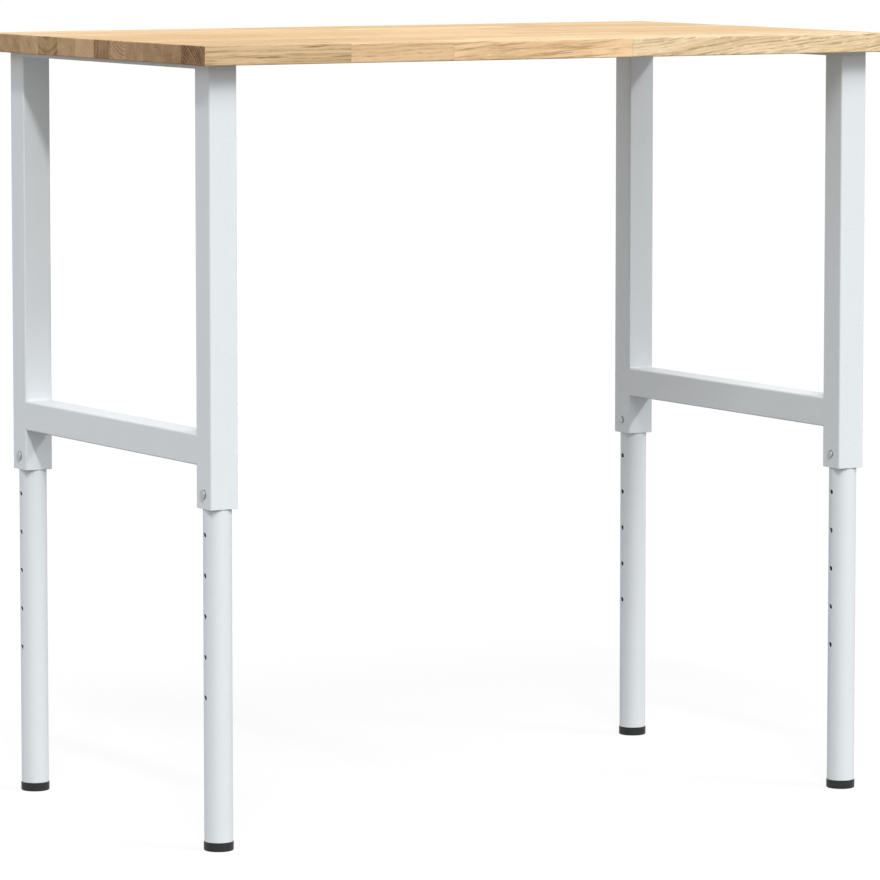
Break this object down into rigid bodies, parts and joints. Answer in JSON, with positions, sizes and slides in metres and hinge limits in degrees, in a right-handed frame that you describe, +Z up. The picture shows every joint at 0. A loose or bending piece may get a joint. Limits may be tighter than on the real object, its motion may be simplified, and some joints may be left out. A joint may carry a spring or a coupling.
{
  "type": "height-adjustable workbench",
  "caption": "Workbench with an oak top on two welded square-tube side frames, whose round lower legs telescope and lock with cross bolts.",
  "frame": {"origin": "on the floor under the middle of the top", "axes": "+X along the bench from the left side frame to the right one, +Y from the front to the rear, +Z up"},
  "size_m": [1, 0.61, 0.984],
  "materials": {
    "oak_top": "oiled",
    "powder_coat": "fine textured powder coat, light grey",
    "foot_plastic": "matt",
    "zinc": "zinc plated"
  },
  "bodies": {
    "root": {"left_crossbar": "powder_coat", "left_front_lock_bolt": "zinc", "left_front_lock_nut": "zinc", "left_front_upper_tube": "powder_coat", "left_rear_lock_bolt": "zinc", "left_rear_lock_nut": "zinc", "left_rear_upper_tube": "powder_coat", "left_top_bar": "powder_coat", "left_top_screw_1": "zinc", "left_top_screw_2": "zinc", "left_top_screw_3": "zinc", "left_top_screw_4": "zinc", "right_crossbar": "powder_coat", "right_front_lock_bolt": "zinc", "right_front_lock_nut": "zinc", "right_front_upper_tube": "powder_coat", "right_rear_lock_bolt": "zinc", "right_rear_lock_nut": "zinc", "right_rear_upper_tube": "powder_coat", "right_top_bar": "powder_coat", "right_top_screw_1": "zinc", "right_top_screw_2": "zinc", "right_top_screw_3": "zinc", "right_top_screw_4": "zinc", "tabletop": "oak_top"},
    "left_front_leg": {"left_front_lower_leg": "powder_coat", "left_front_foot": "foot_plastic"},
    "left_rear_leg": {"left_rear_lower_leg": "powder_coat", "left_rear_foot": "foot_plastic"},
    "right_front_leg": {"right_front_lower_leg": "powder_coat", "right_front_foot": "foot_plastic"},
    "right_rear_leg": {"right_rear_lower_leg": "powder_coat", "right_rear_foot": "foot_plastic"}
  },
  "joints": [
    {"name": "left_front_leg_slide", "type": "slide", "parent": "root", "child": "left_front_leg", "axis": [0, 0, 1], "range_m": [0, 0.25]},
    {"name": "left_rear_leg_slide", "type": "slide", "parent": "root", "child": "left_rear_leg", "axis": [0, 0, 1], "range_m": [0, 0.25]},
    {"name": "right_front_leg_slide", "type": "slide", "parent": "root", "child": "right_front_leg", "axis": [0, 0, 1], "range_m": [0, 0.25]},
    {"name": "right_rear_leg_slide", "type": "slide", "parent": "root", "child": "right_rear_leg", "axis": [0, 0, 1], "range_m": [0, 0.25]}
  ]
}
